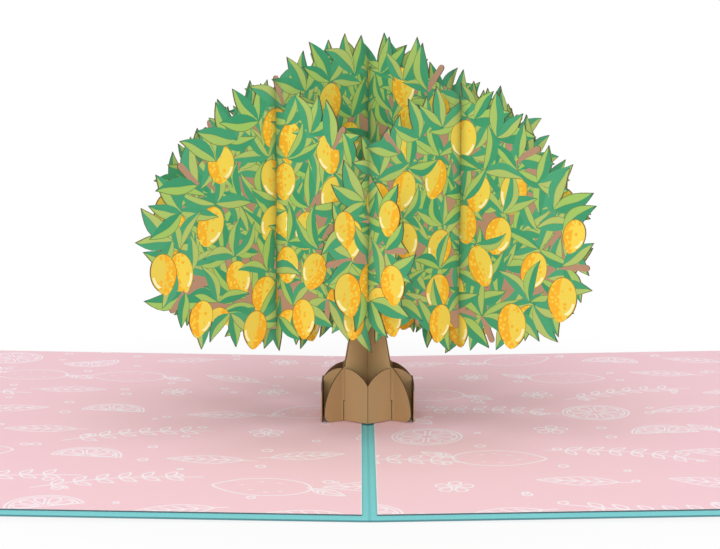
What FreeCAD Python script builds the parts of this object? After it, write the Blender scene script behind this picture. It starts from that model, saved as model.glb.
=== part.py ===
import FreeCAD, Part
import math
import os
import random
import Sketcher

# A pop-up card lying open: two wings that rise a little from the fold, a liner on each wing,
# and a lemon tree of upright card sheets that slot into each other, in a scalloped planter.
# X runs across the wings, Y along the fold, Z up. The origin is under the middle of the fold.

Vector = FreeCAD.Vector
Rotation = FreeCAD.Rotation
Placement = FreeCAD.Placement
UP = Vector(0, 0, 1)
doc = FreeCAD.newDocument("pop_up_card")

# Driving dimensions, in millimetres and degrees

DIMENSIONS = [
    ("card_length", 178.0, "cover, along the fold"),
    ("card_width_closed", 127.0, "cover, from the middle of the fold to its outer edge"),
    ("crease_band", 3.175, "flat band of bare cover between the liners"),
    ("wing_rise", 0.98, "angle by which each wing rises from the table"),
    ("cover_thickness", 0.4, "card of the cover"),
    ("liner_thickness", 0.3, "paper of the liners"),
    ("liner_margin_front", 3.2, "bare cover in front of the liners"),
    ("liner_margin_back", 1.2, "bare cover behind the liners"),
    ("liner_margin_outer", 3.2, "bare cover beyond the liners, left and right"),
    ("paper_thickness", 0.35, "card of the tree and the planter"),
    ("tree_offset", 4.0, "tree's axis behind the middle of the fold"),
    ("lattice_angle", 36.5, "angle of the tree's sheets from the X axis"),
    ("crossing_pitch", 28.1, "between neighbouring crossings, along a sheet"),
    ("slot_clearance", 0.05, "room on each side of a sheet in a slot"),
    ("tree_reach", 60.5, "foliage of a tree sheet, half its width without the leaf tips"),
    ("tree_top", 92.8, "foliage of a tree sheet, top"),
    ("tree_waist", 50.0, "height at which a tree sheet is widest"),
    ("tree_underside", 26.0, "foliage of a tree sheet, underside"),
    ("tree_arch", 7.0, "rise of a tree sheet's underside over the roots"),
    ("tree_upper_power", 1.6, "fullness of a tree sheet's shoulders, 2 for an ellipse"),
    ("tree_lower_power", 3.0, "fullness of a tree sheet's skirt, 2 for an ellipse"),
    ("side_reach", 36.0, "foliage of a side sheet, half its width"),
    ("side_top", 80.5, "foliage of a side sheet, top"),
    ("side_waist", 48.0, "height at which a side sheet is widest"),
    ("side_underside", 27.0, "foliage of a side sheet, underside"),
    ("side_arch", 5.0, "rise of a side sheet's underside between two crossings"),
    ("side_upper_power", 1.85, "fullness of a side sheet's shoulders"),
    ("side_lower_power", 2.6, "fullness of a side sheet's skirt"),
    ("trunk_top_half", 5.0, "half the trunk's width where it enters the foliage"),
    ("trunk_foot_half", 7.3, "half the trunk's width above the roots"),
    ("trunk_foot_height", 15.0, "height of the trunk above the roots"),
    ("root_reach", 13.8, "half the width of the roots"),
    ("root_bulge", 1.6, "how far the root's edge bows out from a straight line"),
    ("root_corner", 2.0, "rounding at the foot of the roots"),
    ("planter_reach", 12.4, "from the fold to the planter's side corners"),
    ("planter_peak", 14.5, "height of the scallops"),
    ("planter_notch", 10.6, "height of the planter at its corners"),
    ("planter_slot_floor", 6.0, "height at which roots and planter meet in their slots"),
    ("end_tab_length", 7.0, "planter's end tabs, along the fold"),
    ("end_tab_corner", 2.6, "rounding of the end tabs' upper corner"),
    ("end_tab_gap", 0.3, "between the end tabs of the two planter strips"),
    ("foot_width", 3.2, "feet that pass through the liners"),
    ("foot_centre", 10.1, "feet of the roots, from the tree's axis along the sheet"),
    ("slit_clearance", 0.15, "room on each side of a foot in its slit"),
    ("seat_clearance", 0.04, "room under the sheets and their feet"),
    ("leaf_length", 10.2, "mean length of a leaf"),
    ("leaf_width", 3.9, "mean width of a leaf"),
    ("sprig_pitch", 8.0, "between the sprigs along the foliage's edge"),
    ("sprig_inset", 3.0, "how deep a sprig starts inside the foliage's edge"),
    ("lemon_height", 9.2, "height of a lemon"),
    ("lemon_width", 7.0, "width of a lemon"),
    ("lemon_tip", 0.8, "length of a lemon's pointed tip"),
    ("twig_length", 6.8, "length of a bare twig end"),
    ("twig_width", 1.6, "width of a bare twig end"),
]

sizes = doc.addObject("Spreadsheet::Sheet", "sizes")
for row, (alias, value, note) in enumerate(DIMENSIONS, start=1):
    sizes.set(f"A{row}", alias)
    sizes.set(f"B{row}", str(value))
    sizes.setAlias(f"B{row}", alias)
    sizes.set(f"C{row}", note)
doc.recompute()


def size(alias):
    return float(getattr(sizes, alias))


# Values worked out from the driving dimensions

angle = math.radians(size("lattice_angle"))
rise = math.radians(size("wing_rise"))
thickness = size("paper_thickness")
clearance = size("slot_clearance")
wing_start = size("crease_band") / 2 - size("cover_thickness") * math.tan(rise / 2)
slot_width = thickness * (1 + math.cos(2 * angle)) / math.sin(2 * angle) + 2 * clearance
planter_depth = size("planter_reach") * math.tan(angle)
corner_mitre = thickness / 2 * math.cos(angle) / (1 - math.sin(angle))
tab_start = size("end_tab_gap") / 2 + corner_mitre
tab_distance = size("planter_reach") - tab_start / math.tan(angle)
tab_foot_middle = tab_start + size("end_tab_length") / 2
OVERSIZE = 3 * size("tree_top")


def cover_top(x):
    """Height of the cover's upper face at a distance x from the fold."""
    return size("cover_thickness") + max(abs(x) - wing_start, 0) * math.tan(rise)


def liner_top(x):
    """Height of the liner's upper face at a distance x from the fold."""
    return cover_top(x) + size("liner_thickness") / math.cos(rise)


root_end = size("root_reach") * math.cos(angle)
root_bottom = liner_top(root_end) + size("seat_clearance")
root_foot_bottom = cover_top(root_end) + size("seat_clearance")
planter_bottom = liner_top(size("planter_reach")) + size("seat_clearance")
planter_foot_bottom = cover_top(size("planter_reach")) + size("seat_clearance")


def bind(feature, **formulas):
    """Tie properties of a feature to the sheet's sizes."""
    for name, formula in formulas.items():
        feature.setExpression(name, formula)


def add_box(name, length, width, height, placement):
    """A box centred on its placement in X and Y, standing on it in Z."""
    box = doc.addObject("Part::Box", name)
    bind(box, Length=length, Width=width, Height=height)
    box.recompute()
    corner = Vector(-box.Length.Value / 2, -box.Width.Value / 2, 0)
    box.Placement = placement * Placement(corner, Rotation())
    return box


def add_cut(name, base, tools):
    """A node of the card: its base less its slots."""
    slots = doc.addObject("Part::MultiFuse", f"{name}_slots")
    slots.Shapes = tools
    cut = doc.addObject("Part::Cut", f"{name}_cut")
    cut.Base = base
    cut.Tool = slots
    cut.Label = name
    return cut


# Cover: one folded sheet, drawn as its end view and padded along the fold

def make_cover():
    band = "sizes.crease_band / 2"
    wing = "(sizes.card_width_closed - sizes.crease_band / 2)"
    tilt = "(sizes.wing_rise * 1 deg)"
    thick = "sizes.cover_thickness"
    half_band = size("crease_band") / 2
    reach = size("card_width_closed") - half_band
    cover = size("cover_thickness")
    tip_x = half_band + reach * math.cos(rise)
    tip_z = reach * math.sin(rise)
    right = [
        (half_band, 0, band, "0"),
        (tip_x, tip_z, f"{band} + {wing} * cos({tilt})", f"{wing} * sin({tilt})"),
        (tip_x - cover * math.sin(rise), tip_z + cover * math.cos(rise),
         f"{band} + {wing} * cos({tilt}) - {thick} * sin({tilt})",
         f"{wing} * sin({tilt}) + {thick} * cos({tilt})"),
        (wing_start, cover, f"{band} - {thick} * tan({tilt} / 2)", thick),
    ]
    left = [(-x, z, f"-({x_formula})", z_formula) for x, z, x_formula, z_formula in reversed(right)]
    corners = right + left
    count = len(corners)

    body = doc.addObject("PartDesign::Body", "cover_body")
    body.Label = "cover"
    sketch = body.newObject("Sketcher::SketchObject", "cover_end_view")
    plane = next(o for o in body.Origin.OriginFeatures if o.Role == "XZ_Plane")
    sketch.AttachmentSupport = [(plane, "")]
    sketch.MapMode = "FlatFace"
    for i in range(count):
        start = Vector(corners[i][0], corners[i][1], 0)
        end = Vector(corners[(i + 1) % count][0], corners[(i + 1) % count][1], 0)
        sketch.addGeometry(Part.LineSegment(start, end), False)
    for i in range(count):
        sketch.addConstraint(Sketcher.Constraint("Coincident", i, 2, (i + 1) % count, 1))
    for i, (x, z, x_formula, z_formula) in enumerate(corners):
        for kind, guess, formula in (("DistanceX", x, x_formula), ("DistanceY", z, z_formula)):
            index = sketch.addConstraint(Sketcher.Constraint(kind, -1, 1, i, 1, guess))
            sketch.setExpression(f"Constraints[{index}]", formula)

    pad = body.newObject("PartDesign::Pad", "cover_pad")
    pad.Profile = sketch
    pad.SideType = "Symmetric"
    bind(pad, Length="sizes.card_length")
    return body


# Liners: a flat sheet glued on each wing, with slits for the feet of the roots and the planter

def on_wing(side, x, y, turn=0.0):
    """Placement on a wing's upper face, x from the fold and y along it, turned about its normal."""
    tilt = Rotation(Vector(0, 1, 0), -side * size("wing_rise"))
    edge = Vector(side * wing_start, 0, size("cover_thickness"))
    along = tilt.multVec(Vector(side * (x - wing_start) / math.cos(rise), y, 0))
    return Placement(edge + along, tilt * Rotation(UP, turn))


def make_liner(side, name):
    width = size("card_width_closed") - size("crease_band") / 2 - size("liner_margin_outer")
    length = size("card_length") - size("liner_margin_front") - size("liner_margin_back")
    middle_x = size("crease_band") / 2 + width / 2 * math.cos(rise)
    middle_y = (size("liner_margin_front") - size("liner_margin_back")) / 2
    sheet = add_box(
        f"{name}_sheet",
        "sizes.card_width_closed - sizes.crease_band / 2 - sizes.liner_margin_outer",
        "sizes.card_length - sizes.liner_margin_front - sizes.liner_margin_back",
        "sizes.liner_thickness",
        on_wing(side, middle_x, middle_y))

    slits = []
    for end in (-1, 1):
        foot = size("foot_centre")
        root_place = on_wing(side, foot * math.cos(angle),
                             size("tree_offset") + end * foot * math.sin(angle),
                             side * end * size("lattice_angle"))
        planter_place = on_wing(side, tab_distance, size("tree_offset") + end * tab_foot_middle, 90)
        for place in (root_place, planter_place):
            sunk = place * Placement(Vector(0, 0, -size("liner_thickness")), Rotation())
            slits.append(add_box(f"{name}_slit_{len(slits)}",
                                 "sizes.foot_width + 2 * sizes.slit_clearance",
                                 "sizes.paper_thickness + 2 * sizes.slit_clearance",
                                 "3 * sizes.liner_thickness", sunk))
    return add_cut(name, sheet, slits)


# Foliage: a rounded field, with leaf tips, lemons and twig ends growing out of its edge

EDGE_STEPS = 96


def underside_arch(kind, u):
    """Rise of the underside: one arch on a tree sheet, two beside each other on a side sheet."""
    turn = math.pi * min(abs(u) / size("crossing_pitch"), 1)
    if kind == "tree":
        return size("tree_arch") * math.cos(turn / 2) ** 2
    return size("side_arch") * math.sin(turn) ** 2


def foliage_edge(kind):
    """Points round the foliage of a tree or side sheet, clockwise from the top."""
    points = []
    for i in range(EDGE_STEPS):
        turn = 2 * math.pi * i / EDGE_STEPS
        across, up = math.sin(turn), math.cos(turn)
        waist = size(f"{kind}_waist")
        if up >= 0:
            power, height = size(f"{kind}_upper_power"), size(f"{kind}_top") - waist
        else:
            power, height = size(f"{kind}_lower_power"), waist - size(f"{kind}_underside")
        u = size(f"{kind}_reach") * math.copysign(abs(across) ** (2 / power), across)
        z = waist + height * math.copysign(abs(up) ** (2 / power), up)
        points.append((u, z if up >= 0 else z + underside_arch(kind, u)))
    return points


def foliage_middle(kind, u):
    """Height halfway up the foliage at a distance u from the sheet's middle."""
    share = min(abs(u) / size(f"{kind}_reach"), 1)
    waist = size(f"{kind}_waist")
    upper = (1 - share ** size(f"{kind}_upper_power")) ** (1 / size(f"{kind}_upper_power"))
    lower = (1 - share ** size(f"{kind}_lower_power")) ** (1 / size(f"{kind}_lower_power"))
    top = waist + (size(f"{kind}_top") - waist) * upper
    bottom = waist - (waist - size(f"{kind}_underside")) * lower
    return (top + bottom) / 2


def walk_edge(points, pitch):
    """Evenly spaced places along a clockwise outline, each with its outward direction."""
    places = []
    wait = pitch / 2
    for (u0, z0), (u1, z1) in zip(points, points[1:] + points[:1]):
        length = math.hypot(u1 - u0, z1 - z0)
        while wait < length:
            share = wait / length
            outward = math.atan2(u1 - u0, z0 - z1)
            places.append((u0 + share * (u1 - u0), z0 + share * (z1 - z0), outward))
            wait += pitch
        wait -= length
    return places


def leaf_outline(u, z, direction, length, width, bend, steps=3):
    """A lance-shaped leaf from its base, even on both sides of its bowed midrib."""
    along_u, along_z = math.cos(direction), math.sin(direction)
    left, right = [], []
    for i in range(steps + 1):
        s = i / steps
        half = width / 2 * math.sin(math.pi * s ** 0.85) if 0 < i < steps else 0
        bow = width * bend * 4 * s * (1 - s)
        middle_u = u + along_u * length * s - along_z * bow
        middle_z = z + along_z * length * s + along_u * bow
        left.append((middle_u - along_z * half, middle_z + along_u * half))
        right.append((middle_u + along_z * half, middle_z - along_u * half))
    return left + right[-2:0:-1]


def lemon_outline(u, z, direction, height, width, tip, steps=14):
    """An oval lemon with a pointed tip, which points in the direction given."""
    along_u, along_z = math.cos(direction), math.sin(direction)
    outline = []
    for i in range(steps):
        turn = 2 * math.pi * i / steps
        from_tip = min(turn, 2 * math.pi - turn)
        out = height / 2 * math.cos(turn) + tip * math.exp(-(from_tip / 0.4) ** 2)
        side = width / 2 * math.sin(turn)
        outline.append((u + along_u * out - along_z * side, z + along_z * out + along_u * side))
    return outline


def twig_outline(u, z, direction, length, width, steps=4):
    """A bare twig end with a round tip."""
    along_u, along_z = math.cos(direction), math.sin(direction)
    outline = [(u + along_z * width / 2, z - along_u * width / 2)]
    for i in range(steps + 1):
        turn = math.pi * (i / steps - 0.5)
        out = length - width / 2 + width / 2 * math.cos(turn)
        side = width / 2 * math.sin(turn)
        outline.append((u + along_u * out - along_z * side, z + along_z * out + along_u * side))
    outline.append((u - along_z * width / 2, z + along_u * width / 2))
    return outline


SPRIG_FAN = (-0.75, 0.0, 0.75)
SPRIG_SWING = 0.3
LEAF_SWING = 0.18
LEAF_SPREAD = 0.16
LEAF_BEND = 0.35
LEMON_EVERY = 2
TWIG_EVERY = 4
STEEPEST_LEMON = 0.5


def edge_growth(kind, family, seed):
    """Outlines of what grows out of the foliage's edge, the same for the same seed."""
    draw = random.Random(seed)
    pitch = size("crossing_pitch")
    inset = size("sprig_inset")
    outlines = []
    for index, (u, z, outward) in enumerate(walk_edge(foliage_edge(kind), size("sprig_pitch"))):
        over_trunk = kind == "tree" and z < size("tree_waist") and abs(u) < 2 * size("trunk_top_half")
        slotted_here = (z < size(f"{kind}_waist")) == (family > 0)
        base_u, base_z = u - inset * math.cos(outward), z - inset * math.sin(outward)
        swing = draw.uniform(-SPRIG_SWING, SPRIG_SWING)
        for fan in SPRIG_FAN:
            direction = outward + swing + fan + draw.uniform(-LEAF_SWING, LEAF_SWING)
            stretch = 1 + draw.uniform(-LEAF_SPREAD, LEAF_SPREAD)
            bend = draw.uniform(-LEAF_BEND, LEAF_BEND)
            if over_trunk:
                continue
            if not fan and index % LEMON_EVERY == 1 and math.sin(outward) < STEEPEST_LEMON:
                outlines.append(lemon_outline(u, z, swing - math.pi / 2, size("lemon_height") * stretch,
                                              size("lemon_width") * stretch, size("lemon_tip")))
                continue
            is_twig = not fan and index % TWIG_EVERY == 2
            length = stretch * size("twig_length" if is_twig else "leaf_length")
            tip_u = base_u + length * math.cos(direction)
            reach = size("leaf_width") / 2
            if slotted_here and any(min(base_u, tip_u) - reach < line < max(base_u, tip_u) + reach
                                    for line in (-pitch, 0, pitch)):
                continue
            if is_twig:
                outlines.append(twig_outline(base_u, base_z, direction, length, size("twig_width")))
            else:
                outlines.append(leaf_outline(base_u, base_z, direction, length,
                                             size("leaf_width") * stretch, bend))
    return outlines


def flat_face(points):
    """A face in the sheet's own plane, u along X and z along Z, with its corners set clockwise."""
    turns = sum(u0 * z1 - u1 * z0 for (u0, z0), (u1, z1) in zip(points, points[1:] + points[:1]))
    ordered = points if turns < 0 else points[::-1]
    corners = [Vector(u, 0, z) for u, z in ordered]
    return Part.Face(Part.makePolygon(corners + corners[:1]))


def rim_edges(curves):
    """Edges through the given corners: two points for a line, three for an arc."""
    edges = []
    for curve in curves:
        corners = [Vector(u, 0, z) for u, z in curve]
        edges.append(Part.Arc(*corners).toShape() if len(corners) == 3 else Part.makeLine(*corners))
    return edges


def flat_box(u_low, u_high, z_low, z_high):
    return flat_face([(u_low, z_low), (u_high, z_low), (u_high, z_high), (u_low, z_high)])


def trunk_face():
    """Trunk and root flares of a tree sheet, with the two feet below them."""
    half_top, half_foot = size("trunk_top_half"), size("trunk_foot_half")
    reach, corner = size("root_reach"), size("root_corner")
    shoulder = (half_foot, size("trunk_foot_height"))
    heel = (reach, root_bottom + corner)
    chord_u, chord_z = heel[0] - shoulder[0], heel[1] - shoulder[1]
    bow = size("root_bulge") / math.hypot(chord_u, chord_z)
    flank = ((shoulder[0] + heel[0]) / 2 - chord_z * bow, (shoulder[1] + heel[1]) / 2 + chord_u * bow)
    crook = corner * (1 - math.sqrt(0.5))
    right = [
        [(half_top, size("tree_waist")), (half_top, size("tree_underside"))],
        [(half_top, size("tree_underside")), shoulder],
        [shoulder, flank, heel],
        [heel, (reach - crook, root_bottom + crook), (reach - corner, root_bottom)],
    ]
    left = [[(-u, z) for u, z in reversed(curve)] for curve in reversed(right)]
    bottom = [right[-1][-1], left[0][0]]
    top = [left[-1][-1], right[0][0]]
    trunk = Part.Face(Part.Wire(rim_edges(right + [bottom] + left + [top])))
    half_width = size("foot_width") / 2
    feet = [flat_box(side * size("foot_centre") - half_width, side * size("foot_centre") + half_width,
                     root_foot_bottom, root_bottom + thickness) for side in (-1, 1)]
    return trunk.multiFuse(feet).removeSplitter().Faces[0]


def sheet_outline(kind, family, seed):
    """The cut-out outline of a tree or side sheet, with its slots."""
    grown = [flat_face(points) for points in edge_growth(kind, family, seed)]
    if kind == "tree":
        grown.append(trunk_face())
    foliage = flat_face(foliage_edge(kind)).multiFuse(grown).removeSplitter()
    outline = Part.Face(max(foliage.Faces, key=lambda face: face.Area).OuterWire)

    slots = []
    half = slot_width / 2
    pitch = size("crossing_pitch")
    for crossing in (-pitch, 0, pitch):
        neighbour = "side" if crossing else "tree"
        at_neighbour = 0 if kind == "tree" else pitch
        split = (foliage_middle(kind, crossing) + foliage_middle(neighbour, at_neighbour)) / 2
        if family > 0:
            slots.append(flat_box(crossing - half, crossing + half, -OVERSIZE, split + clearance))
        else:
            slots.append(flat_box(crossing - half, crossing + half, split - clearance, OVERSIZE))
    if kind == "tree":
        root = size("planter_reach") / 2 / math.cos(angle)
        for crossing in (-root, root):
            slots.append(flat_box(crossing - half, crossing + half,
                                  -OVERSIZE, size("planter_slot_floor") + clearance))
    return max(outline.cut(slots).Faces, key=lambda face: face.Area)


def make_sheet(name, kind, family, middle_x, middle_y, seed):
    """An upright sheet: family 1 runs back to the right, family -1 back to the left."""
    turn = Rotation(UP, family * size("lattice_angle"))
    outline = doc.addObject("Part::Feature", f"{name}_outline")
    outline.Shape = sheet_outline(kind, family, seed)
    outline.Placement = Placement(Vector(middle_x, middle_y + size("tree_offset"), 0), turn)
    sheet = doc.addObject("Part::Extrusion", f"{name}_sheet")
    sheet.Base = outline
    sheet.DirMode = "Custom"
    sheet.Dir = turn.multVec(Vector(0, 1, 0))
    sheet.Solid = True
    sheet.Symmetric = True
    bind(sheet, LengthFwd="sizes.paper_thickness")
    sheet.Label = name
    return sheet


# Planter: two scalloped strips, each folded at the fold line and at its two end tabs

def offset_path(points, distance):
    """The path shifted sideways, with mitred corners."""
    shifted = []
    normals = []
    for start, end in zip(points, points[1:]):
        along = (end - start).normalize()
        normals.append(Vector(-along.y, along.x, 0))
    for i, point in enumerate(points):
        before, after = normals[max(i - 1, 0)], normals[min(i, len(normals) - 1)]
        shifted.append(point + (before + after) * (distance / (1 + before.dot(after))))
    return shifted


def panel_profile(length):
    """A scalloped panel in its own plane, running on at notch height round both its corners."""
    notch, peak = size("planter_notch"), size("planter_peak")
    turn_over = 2 * thickness
    return Part.Face(Part.Wire(rim_edges([
        [(-turn_over, notch), (0, notch)],
        [(0, notch), (length / 2, peak), (length, notch)],
        [(length, notch), (length + turn_over, notch)],
        [(length + turn_over, notch), (length + turn_over, planter_bottom)],
        [(length + turn_over, planter_bottom), (-turn_over, planter_bottom)],
        [(-turn_over, planter_bottom), (-turn_over, notch)],
    ])))


def tab_profile(length):
    """An end tab from its folded corner, with its outer upper corner rounded and a foot below."""
    notch, radius = size("planter_notch"), size("end_tab_corner")
    crook = radius * (1 - math.sqrt(0.5))
    tab = Part.Face(Part.Wire(rim_edges([
        [(-thickness, notch), (length - radius, notch)],
        [(length - radius, notch), (length - crook, notch - crook), (length, notch - radius)],
        [(length, notch - radius), (length, planter_bottom)],
        [(length, planter_bottom), (-thickness, planter_bottom)],
        [(-thickness, planter_bottom), (-thickness, notch)],
    ])))
    half_width = size("foot_width") / 2
    foot = flat_box(length / 2 - half_width, length / 2 + half_width,
                    planter_foot_bottom, planter_bottom + thickness)
    return tab.fuse(foot).removeSplitter().Faces[0]


def make_planter_strip(name, side):
    """Side -1 is the strip in front of the tree, side 1 the one behind it."""
    near, far = side * tab_start, side * (tab_start + size("end_tab_length"))
    corner_y = side * planter_depth
    path = [Vector(-tab_distance, far, 0), Vector(-tab_distance, near, 0), Vector(0, corner_y, 0),
            Vector(tab_distance, near, 0), Vector(tab_distance, far, 0)]
    plates = []
    for start, end, is_tab in ((path[1], path[0], True), (path[1], path[2], False),
                               (path[2], path[3], False), (path[3], path[4], True)):
        run = end - start
        profile = tab_profile(run.Length) if is_tab else panel_profile(run.Length)
        plate = profile.extrude(Vector(0, thickness, 0))
        plate.translate(Vector(0, -thickness / 2, 0))
        plate.Placement = Placement(start, Rotation(Vector(1, 0, 0), run)) * plate.Placement
        plates.append(plate)
    left = offset_path(path, thickness / 2)
    right = offset_path(path, -thickness / 2)
    rim = left + right[::-1]
    footprint = Part.Face(Part.makePolygon(rim + rim[:1])).extrude(UP * OVERSIZE)
    strip = doc.addObject("Part::Feature", f"{name}_strip")
    strip.Shape = plates[0].multiFuse(plates[1:]).common(footprint).removeSplitter()
    strip.Placement = Placement(Vector(0, size("tree_offset"), 0), Rotation())

    floor = size("planter_slot_floor") - clearance
    slots = []
    for end in (-1, 1):
        place = Placement(Vector(end * size("planter_reach") / 2,
                                 corner_y / 2 + size("tree_offset"), floor), Rotation())
        slots.append(add_box(f"{name}_slot_{len(slots)}",
                             "sizes.paper_thickness / sin(sizes.lattice_angle * 1 deg)"
                             " + 2 * sizes.slot_clearance",
                             "8 * sizes.paper_thickness", "sizes.planter_peak", place))
    return add_cut(name, strip, slots)


# The whole card

side_x = size("crossing_pitch") * math.cos(angle)
side_y = size("crossing_pitch") * math.sin(angle)
nodes = [
    make_cover(),
    make_liner(-1, "liner_left"),
    make_liner(1, "liner_right"),
    make_sheet("tree_sheet_a", "tree", 1, 0, 0, 11),
    make_sheet("tree_sheet_b", "tree", -1, 0, 0, 12),
    make_sheet("crown_front_right", "side", 1, side_x, -side_y, 13),
    make_sheet("crown_front_left", "side", -1, -side_x, -side_y, 14),
    make_sheet("crown_back_left", "side", 1, -side_x, side_y, 15),
    make_sheet("crown_back_right", "side", -1, side_x, side_y, 16),
    make_planter_strip("planter_front", -1),
    make_planter_strip("planter_back", 1),
]
doc.recompute()

# Checks, then one file for each node

for item in doc.Objects:
    if "Invalid" in item.State or "Error" in item.State:
        raise RuntimeError(f"{item.Name} failed: {item.State}")
os.makedirs("parts", exist_ok=True)
for node in nodes:
    shape = node.Shape
    if shape.isNull() or not shape.isValid() or len(shape.Solids) != 1:
        raise RuntimeError(f"{node.Label} is not one valid solid")
    print(node.Label, round(shape.Volume, 2), [round(v, 2) for v in (
        shape.BoundBox.XMin, shape.BoundBox.XMax, shape.BoundBox.YMin,
        shape.BoundBox.YMax, shape.BoundBox.ZMin, shape.BoundBox.ZMax)])
for node in nodes:
    node.Shape.exportStep(f"parts/{node.Label}.step")
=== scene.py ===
# %% [markdown]
# # A pop-up card with a lemon tree
# The real card is a folded teal sheet with a printed liner on each wing. A tree of flat printed
# sheets, slotted into each other like an egg crate, stands over the fold. Its planter is two
# scalloped strips. We load the measured model first, because each visible piece has to sit where
# the model says, and then we dress it: plain card for the cover, line prints for the liners, and
# a drawn layer of leaves and lemons for the tree.

import math
import random

import bmesh
import bpy
from mathutils import Matrix, Vector
from mathutils.geometry import delaunay_2d_cdt


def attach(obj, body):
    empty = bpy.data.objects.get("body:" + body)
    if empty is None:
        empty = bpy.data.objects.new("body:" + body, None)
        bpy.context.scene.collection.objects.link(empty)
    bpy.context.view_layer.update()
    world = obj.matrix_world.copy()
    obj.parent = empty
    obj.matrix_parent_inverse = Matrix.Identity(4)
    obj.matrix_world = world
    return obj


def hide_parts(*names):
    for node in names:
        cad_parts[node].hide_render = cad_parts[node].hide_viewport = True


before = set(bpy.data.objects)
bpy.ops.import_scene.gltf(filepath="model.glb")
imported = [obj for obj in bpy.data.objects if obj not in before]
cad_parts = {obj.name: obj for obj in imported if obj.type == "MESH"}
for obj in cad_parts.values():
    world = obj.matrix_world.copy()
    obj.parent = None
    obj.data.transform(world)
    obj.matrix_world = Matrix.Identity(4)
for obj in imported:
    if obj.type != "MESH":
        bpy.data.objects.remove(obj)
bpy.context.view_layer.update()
MM = 0.001
print("nodes:", sorted(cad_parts))

# %% [markdown]
# The camera comes next, so that every later render can be held against the photograph. The
# picture was taken from about 40 cm in front, a little above the tree's foot, looking slightly
# down. An 80 mm lens gives the same slow narrowing of the fold towards the back.

# %% Camera
camera_data = bpy.data.cameras.new("camera")
camera_data.lens = 80
camera = bpy.data.objects.new("camera", camera_data)
camera.location = Vector((-1.985, -404.76, 94.37)) * MM
camera.rotation_euler = (math.radians(90 - 7.833), 0, 0)
bpy.context.scene.collection.objects.link(camera)
bpy.context.scene.camera = camera
bpy.context.scene.view_settings.view_transform = "Standard"
print("camera stands", round(camera.location.length / MM), "mm from the fold's middle")

# %% [markdown]
# ## A small language for materials
# A material in Blender is a graph of nodes. Long formulas are hard to read as a graph, so a small
# class wraps a socket and lets us write them as ordinary Python sums. Anything that isn't a sum,
# such as a noise or a colour mix, comes from one method that makes any node.


# %% Node helpers
def shade(red, green, blue):
    """A screen colour, 0 to 255 in each part, as the linear colour that Blender wants."""
    parts = [c / 255 for c in (red, green, blue)]
    return [c / 12.92 if c <= 0.04045 else ((c + 0.055) / 1.055) ** 2.4 for c in parts] + [1]


class Number:
    """A number that varies over a surface. Sums of such numbers add Math nodes."""

    def __init__(self, finish, socket):
        self.finish = finish
        self.socket = socket

    def math(self, operation, *others):
        values = [self.socket] + [other.socket if isinstance(other, Number) else other
                                  for other in others]
        return self.finish.math(operation, *values)

    def __add__(self, other):
        return self.math("ADD", other)

    def __sub__(self, other):
        return self.math("SUBTRACT", other)

    def __mul__(self, other):
        return self.math("MULTIPLY", other)

    def __truediv__(self, other):
        return self.math("DIVIDE", other)

    def __rsub__(self, other):
        return self.finish.math("SUBTRACT", other, self.socket)

    __radd__ = __add__
    __rmul__ = __mul__

    def __abs__(self):
        return self.math("ABSOLUTE")

    def __gt__(self, other):
        return self.math("GREATER_THAN", other)

    def __lt__(self, other):
        return self.math("LESS_THAN", other)


# %% [markdown]
# The same methods serve the world and every material: one makes any node, one makes a sum, and
# one says where the camera looks straight at a surface.

# %% Any node
class Nodes:
    """The nodes of a material or of the world."""

    def __init__(self, tree):
        self.tree = tree

    def node(self, kind, settings=None, inputs=None):
        """Any node: its settings first, then a value or a link for each socket."""
        node = self.tree.nodes.new("ShaderNode" + kind)
        for name, value in (settings or {}).items():
            setattr(node, name, value)
        for key, value in (inputs or {}).items():
            value = value.socket if isinstance(value, Number) else value
            if isinstance(value, bpy.types.NodeSocket):
                self.tree.links.new(value, node.inputs[key])
            else:
                node.inputs[key].default_value = value
        return node

    def math(self, operation, *values):
        node = self.node("Math", {"operation": operation}, dict(enumerate(values)))
        return Number(self, node.outputs[0])

    def surface(self, shader, output):
        """Links the last shader to the output."""
        self.tree.links.new(shader, self.tree.nodes[output].inputs["Surface"])

    def seen_directly(self):
        """1 where the camera looks straight at it, also in a mirror or through glass."""
        rays = self.node("LightPath").outputs
        seen = self.math("MAXIMUM", rays["Is Camera Ray"], rays["Is Glossy Ray"])
        return seen.math("MAXIMUM", rays["Is Transmission Ray"])


# %% [markdown]
# A finish is a material made with those nodes, with the few steps that every piece here needs.

# %% Finishes
class Finish(Nodes):
    """A material with its nodes."""

    def __init__(self, name, roughness, specular=0.25):
        self.material = bpy.data.materials.new(name)
        self.material.use_nodes = True
        super().__init__(self.material.node_tree)
        self.shader = self.tree.nodes["Principled BSDF"]
        self.shader.inputs["Roughness"].default_value = roughness
        self.shader.inputs["Specular IOR Level"].default_value = specular

    def coordinates(self):
        """Where a point lies on the piece, in metres."""
        return self.node("TexCoord").outputs["Object"]

    def noise(self, scale, detail=2.0):
        node = self.node("TexNoise", None, {"Vector": self.coordinates(), "Scale": scale, "Detail": detail})
        return Number(self, node.outputs["Fac"])

    def mix(self, factor, first, second):
        """A colour between two colours: factor 0 gives the first, 1 the second."""
        node = self.node("Mix", {"data_type": "RGBA"}, {0: factor, 6: first, 7: second})
        return node.outputs[2]

    def paint(self, colour):
        self.tree.links.new(colour, self.shader.inputs["Base Color"])

    def bump(self, height, depth, strength=1.0):
        """Relief of the given depth in metres."""
        node = self.node("Bump", None, {"Height": height, "Distance": depth, "Strength": strength})
        self.tree.links.new(node.outputs["Normal"], self.shader.inputs["Normal"])


# %% [markdown]
# ## Light, floor and background
# The card was photographed in even, soft light with the background left pure white. A large soft
# lamp overhead and a weaker one in front give the gentle shadow under the crown. Only the camera
# sees the white of the world, so the background adds no light to the card.

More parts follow.
